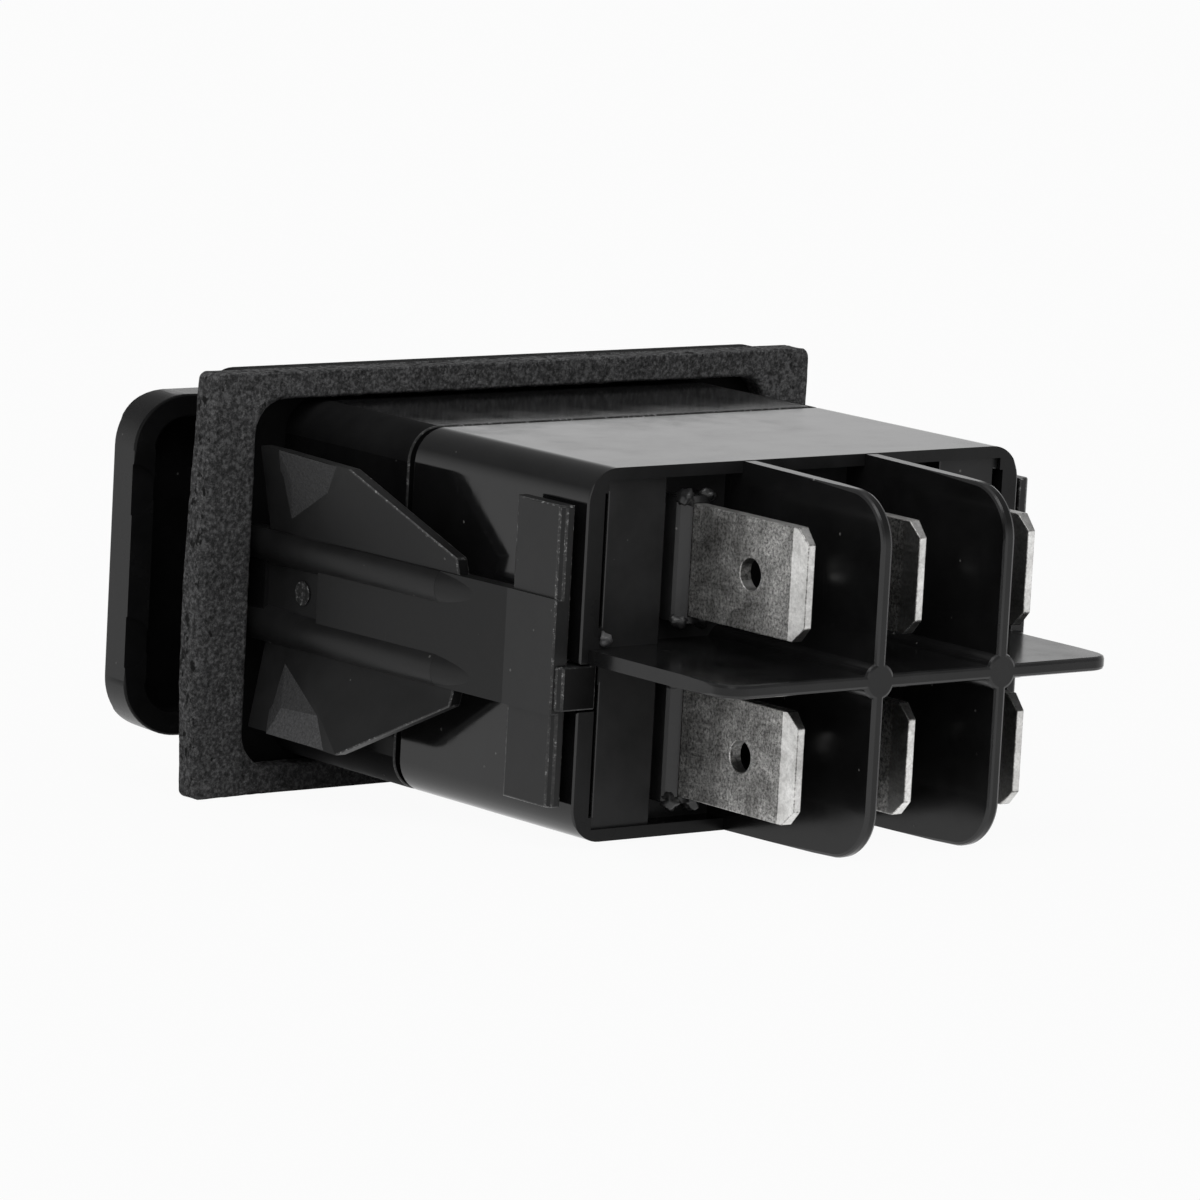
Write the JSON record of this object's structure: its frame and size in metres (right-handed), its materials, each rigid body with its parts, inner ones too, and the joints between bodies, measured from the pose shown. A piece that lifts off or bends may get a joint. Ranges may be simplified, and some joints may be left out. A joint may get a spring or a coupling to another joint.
{
  "type": "rocker switch",
  "caption": "Snap-in panel rocker switch with foam gasket, sprung mounting legs and blade terminals between barrier fins; reverses a motor's direction.",
  "frame": {"origin": "centre of the gasket's rear face, where the front of the panel lies", "axes": "+X along the panel cut-out towards the raised end of the rocker, +Y behind the panel along the terminals, +Z across the cut-out"},
  "size_m": [0.0443, 0.0498, 0.0248],
  "materials": {
    "satin_black_plastic": "satin moulded nylon",
    "gloss_black_plastic": "glossy moulded plastic",
    "rocker_black_plastic": "satin moulded plastic",
    "foam": "closed-cell foam, cut edges",
    "tinned_brass": "tinned, scratched",
    "brass": "bare strip",
    "silver_contact": "silver alloy",
    "steel": "bright",
    "nylon": "natural nylon",
    "spring_steel": "spring wire"
  },
  "bodies": {
    "housing": {"bezel_frame": "satin_black_plastic", "foam_gasket": "foam", "pivot_pin": "steel", "base_housing": "gloss_black_plastic", "pole_a_common_terminal": "tinned_brass", "pole_a_forward_terminal": "tinned_brass", "pole_a_reverse_terminal": "tinned_brass", "pole_b_common_terminal": "tinned_brass", "pole_b_forward_terminal": "tinned_brass", "pole_b_reverse_terminal": "tinned_brass", "pole_a_forward_fixed_contact": "silver_contact", "pole_a_reverse_fixed_contact": "silver_contact", "pole_b_forward_fixed_contact": "silver_contact", "pole_b_reverse_fixed_contact": "silver_contact"},
    "rocker": {"rocker": "rocker_black_plastic", "pole_a_spring": "spring_steel", "pole_b_spring": "spring_steel"},
    "blade_a": {"pole_a_blade": "brass", "pole_a_forward_moving_contact": "silver_contact", "pole_a_reverse_moving_contact": "silver_contact"},
    "blade_b": {"pole_b_blade": "brass", "pole_b_forward_moving_contact": "silver_contact", "pole_b_reverse_moving_contact": "silver_contact"},
    "plunger_a": {"pole_a_plunger": "nylon"},
    "plunger_b": {"pole_b_plunger": "nylon"}
  },
  "joints": [
    {"name": "rocker_pivot", "type": "hinge", "parent": "housing", "child": "rocker", "pos_m": [0, -0.005, 0], "axis": [0, 0, 1], "range_deg": [0, 12.2]},
    {"name": "blade_a_rock", "type": "hinge", "parent": "housing", "child": "blade_a", "pos_m": [0, 0.02168, 0], "axis": [0, 0, 1], "range_deg": [-12.2, 0]},
    {"name": "blade_b_rock", "type": "hinge", "parent": "housing", "child": "blade_b", "pos_m": [0, 0.02168, 0], "axis": [0, 0, 1], "range_deg": [-12.2, 0]},
    {"name": "plunger_a_slide", "type": "slide", "parent": "rocker", "child": "plunger_a", "axis": [0.1063, 0.9943, 0], "range_m": [-0.0004, 0], "stiffness_N_per_m": 500, "springref_m": 0.001, "deforming": ["pole_a_spring"]},
    {"name": "plunger_b_slide", "type": "slide", "parent": "rocker", "child": "plunger_b", "axis": [0.1063, 0.9943, 0], "range_m": [-0.0004, 0], "stiffness_N_per_m": 500, "springref_m": 0.001, "deforming": ["pole_b_spring"]}
  ],
  "couplings": [
    {"joint": "blade_a_rock", "follows": "rocker_pivot", "ratio": -1},
    {"joint": "blade_b_rock", "follows": "rocker_pivot", "ratio": -1}
  ]
}
